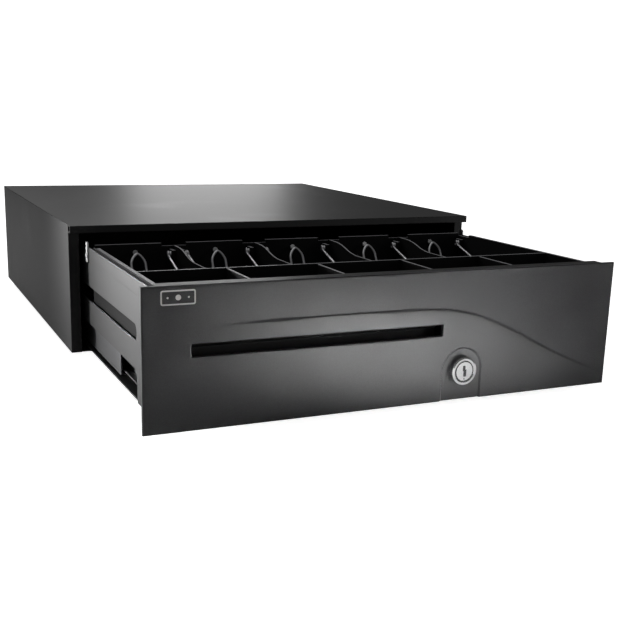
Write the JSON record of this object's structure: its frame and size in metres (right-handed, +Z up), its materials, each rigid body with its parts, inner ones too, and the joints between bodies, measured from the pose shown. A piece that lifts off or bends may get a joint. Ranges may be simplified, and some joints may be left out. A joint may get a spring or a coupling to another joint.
{
  "type": "cash drawer",
  "caption": "Steel cash drawer, shown open, with a lift-out till, wire bill holders, a media slot, a key lock and a release latch.",
  "frame": {"origin": "on the ground under the middle of the open drawer's overall box", "axes": "+X to the right, +Y towards the back, +Z up"},
  "size_m": [0.411, 0.6528, 0.124],
  "materials": {
    "black_steel": "satin black powder coat",
    "panel_paint": "fine-grained charcoal powder coat",
    "zinc": "zinc plated",
    "dark_zinc": "black zinc plated",
    "foot_rubber": "matt",
    "black_plastic": "moulded, fine texture",
    "till_plastic": "moulded, fine texture",
    "lock_chrome": "polished",
    "coil_tape": "amber winding tape",
    "spring_steel": "bright drawn wire",
    "holder_wire": "drawn wire",
    "white_nylon": "moulded nylon"
  },
  "bodies": {
    "cabinet": {"cabinet_cover": "black_steel", "base_pan": "black_steel", "back_panel": "black_steel", "rear_screws": "zinc", "rubber_feet": "foot_rubber", "foot_screws": "zinc", "lock_keeper": "zinc", "latch_bracket": "zinc", "solenoid_frame": "zinc", "solenoid_coil": "coil_tape", "rotor_spring": "spring_steel", "pawl_spring": "spring_steel", "ejector_spring": "spring_steel", "spring_cup": "black_plastic", "switch_body": "black_plastic", "connector_jack": "black_plastic", "slide_bracket_left": "dark_zinc", "slide_outer_left": "dark_zinc", "slide_bracket_right": "dark_zinc", "slide_outer_right": "dark_zinc"},
    "drawer": {"front_panel": "panel_paint", "drawer_front_wall": "black_steel", "panel_screws": "zinc", "drawer_floor": "black_steel", "drawer_rear_wall": "black_steel", "striker": "zinc", "media_chute": "black_plastic", "lock_barrel": "lock_chrome", "lock_nut": "zinc", "drawer_side_left": "black_steel", "slide_inner_left": "dark_zinc", "till_guide_left": "zinc", "drawer_side_right": "black_steel", "slide_inner_right": "dark_zinc", "till_guide_right": "zinc"},
    "till": {"till_tray": "till_plastic", "till_rivets": "zinc", "coin_dividers": "till_plastic", "note_dividers": "till_plastic"},
    "lock": {"lock_plug": "lock_chrome", "lock_rod": "zinc"},
    "rotor": {"latch_rotor": "zinc"},
    "pawl": {"latch_pawl": "zinc"},
    "plunger": {"solenoid_plunger": "spring_steel"},
    "switch_button": {"switch_button": "white_nylon"},
    "slide_middle_left": {"slide_middle_left": "dark_zinc"},
    "slide_middle_right": {"slide_middle_right": "dark_zinc"},
    "bill_holder_1": {"bill_holder_1": "holder_wire"},
    "bill_holder_2": {"bill_holder_2": "holder_wire"},
    "bill_holder_3": {"bill_holder_3": "holder_wire"},
    "bill_holder_4": {"bill_holder_4": "holder_wire"},
    "bill_holder_5": {"bill_holder_5": "holder_wire"}
  },
  "joints": [
    {"name": "drawer_slide", "type": "slide", "parent": "cabinet", "child": "drawer", "axis": [0, -1, 0], "range_m": [-0.2315, 0], "deforming": ["ejector_spring"]},
    {"name": "slide_middle_left_run", "type": "slide", "parent": "cabinet", "child": "slide_middle_left", "axis": [0, -1, 0], "range_m": [-0.11575, 0]},
    {"name": "slide_middle_right_run", "type": "slide", "parent": "cabinet", "child": "slide_middle_right", "axis": [0, -1, 0], "range_m": [-0.11575, 0]},
    {"name": "lock_turn", "type": "hinge", "parent": "drawer", "child": "lock", "pos_m": [0.057, -0.3224, 0.0295], "axis": [0, 1, 0], "range_deg": [0, 90]},
    {"name": "rotor_turn", "type": "hinge", "parent": "cabinet", "child": "rotor", "pos_m": [0.012, 0.2746, 0.0275], "axis": [0, 0, 1], "range_deg": [0, 40], "stiffness_Nm_per_rad": 0.03, "springref_deg": -11.46},
    {"name": "pawl_swing", "type": "hinge", "parent": "cabinet", "child": "pawl", "pos_m": [-0.028, 0.2866, 0.0275], "axis": [0, 0, 1], "range_deg": [0, 14]},
    {"name": "plunger_pull", "type": "slide", "parent": "cabinet", "child": "plunger", "axis": [-1, 0, 0], "range_m": [0, 0.0048], "stiffness_N_per_m": 75, "springref_m": -0.004},
    {"name": "switch_press", "type": "slide", "parent": "cabinet", "child": "switch_button", "axis": [0, 1, 0], "range_m": [0, 0.001], "stiffness_N_per_m": 150, "springref_m": -0.001},
    {"name": "till_lift", "type": "slide", "parent": "drawer", "child": "till", "axis": [0, 0, 1], "range_m": [0, 0.12]},
    {"name": "bill_holder_1_swing", "type": "hinge", "parent": "till", "child": "bill_holder_1", "pos_m": [-0.1518, -0.1164, 0.099], "axis": [-1, 0, 0], "range_deg": [0, 75]},
    {"name": "bill_holder_2_swing", "type": "hinge", "parent": "till", "child": "bill_holder_2", "pos_m": [-0.0773, -0.1164, 0.099], "axis": [-1, 0, 0], "range_deg": [0, 75]},
    {"name": "bill_holder_3_swing", "type": "hinge", "parent": "till", "child": "bill_holder_3", "pos_m": [0, -0.1164, 0.099], "axis": [-1, 0, 0], "range_deg": [0, 75]},
    {"name": "bill_holder_4_swing", "type": "hinge", "parent": "till", "child": "bill_holder_4", "pos_m": [0.0773, -0.1164, 0.099], "axis": [-1, 0, 0], "range_deg": [0, 75]},
    {"name": "bill_holder_5_swing", "type": "hinge", "parent": "till", "child": "bill_holder_5", "pos_m": [0.1518, -0.1164, 0.099], "axis": [-1, 0, 0], "range_deg": [0, 75]}
  ],
  "couplings": [
    {"joint": "slide_middle_left_run", "follows": "drawer_slide", "ratio": 0.5},
    {"joint": "slide_middle_right_run", "follows": "drawer_slide", "ratio": 0.5},
    {"joint": "pawl_swing", "follows": "plunger_pull", "rad_per_m": 50}
  ]
}
